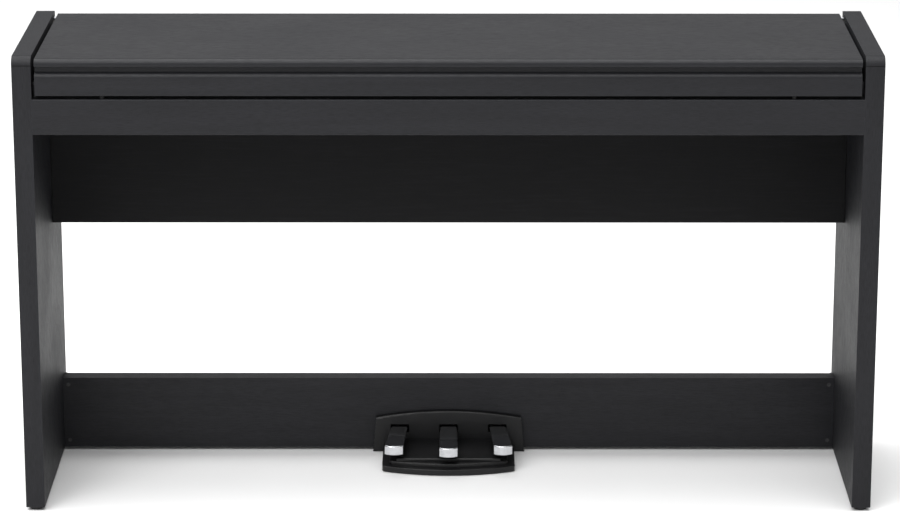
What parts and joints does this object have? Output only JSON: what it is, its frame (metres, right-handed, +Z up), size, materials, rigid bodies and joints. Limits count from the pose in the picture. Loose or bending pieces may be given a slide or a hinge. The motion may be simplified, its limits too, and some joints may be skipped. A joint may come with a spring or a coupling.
{
  "type": "digital piano on stand",
  "caption": "Slim cabinet digital piano with a flat hinged lid over a full keyboard, slab side panels, a rear stretcher and a pedal unit.",
  "frame": {"origin": "on the floor, under the middle of the piano's outer box", "axes": "+X to the player's right along the keyboard, +Y from the front to the back, +Z up"},
  "size_m": [1.355, 0.351, 0.745],
  "materials": {
    "black_laminate": "charcoal-black vinyl laminate with a fine embossed grain",
    "black_board": "plain matt black board",
    "speaker_cloth": "tightly stretched black acoustic cloth",
    "speaker_metal": "black painted steel basket",
    "black_plastic": "finely textured black moulding",
    "button_plastic": "grey soft-touch",
    "chassis_plastic": "grey moulding",
    "white_key_plastic": "polished ivory white",
    "black_key_plastic": "satin ebony black",
    "felt": "dense red felt",
    "circuit_board": "green solder mask",
    "steel": "zinc-plated",
    "black_steel": "black-coated steel",
    "brass": "turned",
    "rubber": "soft black",
    "pedal_chrome": "bright plated"
  },
  "bodies": {
    "stand": {"side_panel_left": "black_laminate", "side_panel_right": "black_laminate", "foot_glides": "black_plastic", "stretcher_board": "black_laminate", "corner_brackets": "steel", "assembly_screws": "black_steel", "speaker_box": "black_board", "speaker_baffle": "black_board", "speaker_cloth": "speaker_cloth", "speaker_drivers": "speaker_metal", "keybed": "black_board", "keyslip": "black_laminate", "cheek_block_left": "black_laminate", "cheek_block_right": "black_laminate", "rear_panel": "black_board", "power_inlet": "black_plastic", "headphone_sockets": "black_plastic", "control_panel": "black_plastic", "music_ledge": "black_plastic", "panel_circuit_board": "circuit_board", "main_circuit_board": "circuit_board", "key_chassis": "chassis_plastic", "key_pivot_rod": "steel", "key_stop_felt": "felt", "lid_pivot_pins": "steel", "pedal_base": "black_plastic", "pedal_back_plate": "black_plastic", "pedal_rear_cover": "black_plastic", "pedal_axle": "steel", "pedal_base_pads": "rubber", "pedal_spring_left": "steel", "pedal_spring_middle": "steel", "pedal_spring_right": "steel"},
    "lid": {"lid_board": "black_laminate", "lid_front_rail": "black_laminate", "lid_pivot_bushes": "brass", "lid_bumpers": "rubber"},
    "pedal_left": {"pedal_left": "pedal_chrome"},
    "pedal_middle": {"pedal_middle": "pedal_chrome"},
    "pedal_right": {"pedal_right": "pedal_chrome"},
    "power_button": {"power_button": "button_plastic"},
    "function_button_1": {"function_button_1": "button_plastic"},
    "function_button_2": {"function_button_2": "button_plastic"},
    "volume_knob": {"volume_knob": "black_plastic"},
    "key_c4": {"key_c4": "white_key_plastic"},
    "key_c_sharp4": {"key_c_sharp4": "black_key_plastic"},
    "key_d4": {"key_d4": "white_key_plastic"},
    "key_d_sharp4": {"key_d_sharp4": "black_key_plastic"},
    "key_e4": {"key_e4": "white_key_plastic"},
    "key_f4": {"key_f4": "white_key_plastic"},
    "key_f_sharp4": {"key_f_sharp4": "black_key_plastic"},
    "key_g4": {"key_g4": "white_key_plastic"},
    "key_g_sharp4": {"key_g_sharp4": "black_key_plastic"},
    "key_a4": {"key_a4": "white_key_plastic"},
    "key_a_sharp4": {"key_a_sharp4": "black_key_plastic"},
    "key_b4": {"key_b4": "white_key_plastic"},
    "white_keys_low": {"white_keys_low": "white_key_plastic"},
    "white_keys_high": {"white_keys_high": "white_key_plastic"},
    "black_keys_low": {"black_keys_low": "black_key_plastic"},
    "black_keys_high": {"black_keys_high": "black_key_plastic"}
  },
  "joints": [
    {"name": "lid_hinge", "type": "hinge", "parent": "stand", "child": "lid", "pos_m": [0, 0.164, 0.73475], "axis": [-1, 0, 0], "range_deg": [0, 100]},
    {"name": "pedal_left_hinge", "type": "hinge", "parent": "stand", "child": "pedal_left", "pos_m": [0, 0.16, 0.04], "axis": [1, 0, 0], "range_deg": [0, 4.15], "stiffness_Nm_per_rad": 18, "springref_deg": -5.44, "deforming": ["pedal_spring_left"]},
    {"name": "pedal_middle_hinge", "type": "hinge", "parent": "stand", "child": "pedal_middle", "pos_m": [0, 0.16, 0.04], "axis": [1, 0, 0], "range_deg": [0, 4.15], "stiffness_Nm_per_rad": 18, "springref_deg": -5.44, "deforming": ["pedal_spring_middle"]},
    {"name": "pedal_right_hinge", "type": "hinge", "parent": "stand", "child": "pedal_right", "pos_m": [0, 0.16, 0.04], "axis": [1, 0, 0], "range_deg": [0, 4.15], "stiffness_Nm_per_rad": 18, "springref_deg": -5.44, "deforming": ["pedal_spring_right"]},
    {"name": "power_button_press", "type": "slide", "parent": "stand", "child": "power_button", "axis": [0, 0, -1], "range_m": [0, 0.0012], "stiffness_N_per_m": 800, "springref_m": -0.0015},
    {"name": "function_button_1_press", "type": "slide", "parent": "stand", "child": "function_button_1", "axis": [0, 0, -1], "range_m": [0, 0.0012], "stiffness_N_per_m": 800, "springref_m": -0.0015},
    {"name": "function_button_2_press", "type": "slide", "parent": "stand", "child": "function_button_2", "axis": [0, 0, -1], "range_m": [0, 0.0012], "stiffness_N_per_m": 800, "springref_m": -0.0015},
    {"name": "volume_knob_turn", "type": "hinge", "parent": "stand", "child": "volume_knob", "pos_m": [-0.53, 0.10675, 0.705], "axis": [0, 0, -1], "range_deg": [0, 300]},
    {"name": "key_c4_hinge", "type": "hinge", "parent": "stand", "child": "key_c4", "pos_m": [0, 0.048, 0.684], "axis": [1, 0, 0], "range_deg": [0, 2.87], "stiffness_Nm_per_rad": 1, "springref_deg": -11.46},
    {"name": "key_c_sharp4_hinge", "type": "hinge", "parent": "stand", "child": "key_c_sharp4", "pos_m": [0, 0.048, 0.684], "axis": [1, 0, 0], "range_deg": [0, 2.87], "stiffness_Nm_per_rad": 1, "springref_deg": -11.46},
    {"name": "key_d4_hinge", "type": "hinge", "parent": "stand", "child": "key_d4", "pos_m": [0, 0.048, 0.684], "axis": [1, 0, 0], "range_deg": [0, 2.87], "stiffness_Nm_per_rad": 1, "springref_deg": -11.46},
    {"name": "key_d_sharp4_hinge", "type": "hinge", "parent": "stand", "child": "key_d_sharp4", "pos_m": [0, 0.048, 0.684], "axis": [1, 0, 0], "range_deg": [0, 2.87], "stiffness_Nm_per_rad": 1, "springref_deg": -11.46},
    {"name": "key_e4_hinge", "type": "hinge", "parent": "stand", "child": "key_e4", "pos_m": [0, 0.048, 0.684], "axis": [1, 0, 0], "range_deg": [0, 2.87], "stiffness_Nm_per_rad": 1, "springref_deg": -11.46},
    {"name": "key_f4_hinge", "type": "hinge", "parent": "stand", "child": "key_f4", "pos_m": [0, 0.048, 0.684], "axis": [1, 0, 0], "range_deg": [0, 2.87], "stiffness_Nm_per_rad": 1, "springref_deg": -11.46},
    {"name": "key_f_sharp4_hinge", "type": "hinge", "parent": "stand", "child": "key_f_sharp4", "pos_m": [0, 0.048, 0.684], "axis": [1, 0, 0], "range_deg": [0, 2.87], "stiffness_Nm_per_rad": 1, "springref_deg": -11.46},
    {"name": "key_g4_hinge", "type": "hinge", "parent": "stand", "child": "key_g4", "pos_m": [0, 0.048, 0.684], "axis": [1, 0, 0], "range_deg": [0, 2.87], "stiffness_Nm_per_rad": 1, "springref_deg": -11.46},
    {"name": "key_g_sharp4_hinge", "type": "hinge", "parent": "stand", "child": "key_g_sharp4", "pos_m": [0, 0.048, 0.684], "axis": [1, 0, 0], "range_deg": [0, 2.87], "stiffness_Nm_per_rad": 1, "springref_deg": -11.46},
    {"name": "key_a4_hinge", "type": "hinge", "parent": "stand", "child": "key_a4", "pos_m": [0, 0.048, 0.684], "axis": [1, 0, 0], "range_deg": [0, 2.87], "stiffness_Nm_per_rad": 1, "springref_deg": -11.46},
    {"name": "key_a_sharp4_hinge", "type": "hinge", "parent": "stand", "child": "key_a_sharp4", "pos_m": [0, 0.048, 0.684], "axis": [1, 0, 0], "range_deg": [0, 2.87], "stiffness_Nm_per_rad": 1, "springref_deg": -11.46},
    {"name": "key_b4_hinge", "type": "hinge", "parent": "stand", "child": "key_b4", "pos_m": [0, 0.048, 0.684], "axis": [1, 0, 0], "range_deg": [0, 2.87], "stiffness_Nm_per_rad": 1, "springref_deg": -11.46},
    {"name": "white_keys_low_hinge", "type": "hinge", "parent": "stand", "child": "white_keys_low", "pos_m": [0, 0.048, 0.684], "axis": [1, 0, 0], "range_deg": [0, 2.87], "stiffness_Nm_per_rad": 23, "springref_deg": -11.46},
    {"name": "white_keys_high_hinge", "type": "hinge", "parent": "stand", "child": "white_keys_high", "pos_m": [0, 0.048, 0.684], "axis": [1, 0, 0], "range_deg": [0, 2.87], "stiffness_Nm_per_rad": 22, "springref_deg": -11.46},
    {"name": "black_keys_low_hinge", "type": "hinge", "parent": "stand", "child": "black_keys_low", "pos_m": [0, 0.048, 0.684], "axis": [1, 0, 0], "range_deg": [0, 2.87], "stiffness_Nm_per_rad": 16, "springref_deg": -11.46},
    {"name": "black_keys_high_hinge", "type": "hinge", "parent": "stand", "child": "black_keys_high", "pos_m": [0, 0.048, 0.684], "axis": [1, 0, 0], "range_deg": [0, 2.87], "stiffness_Nm_per_rad": 15, "springref_deg": -11.46}
  ]
}
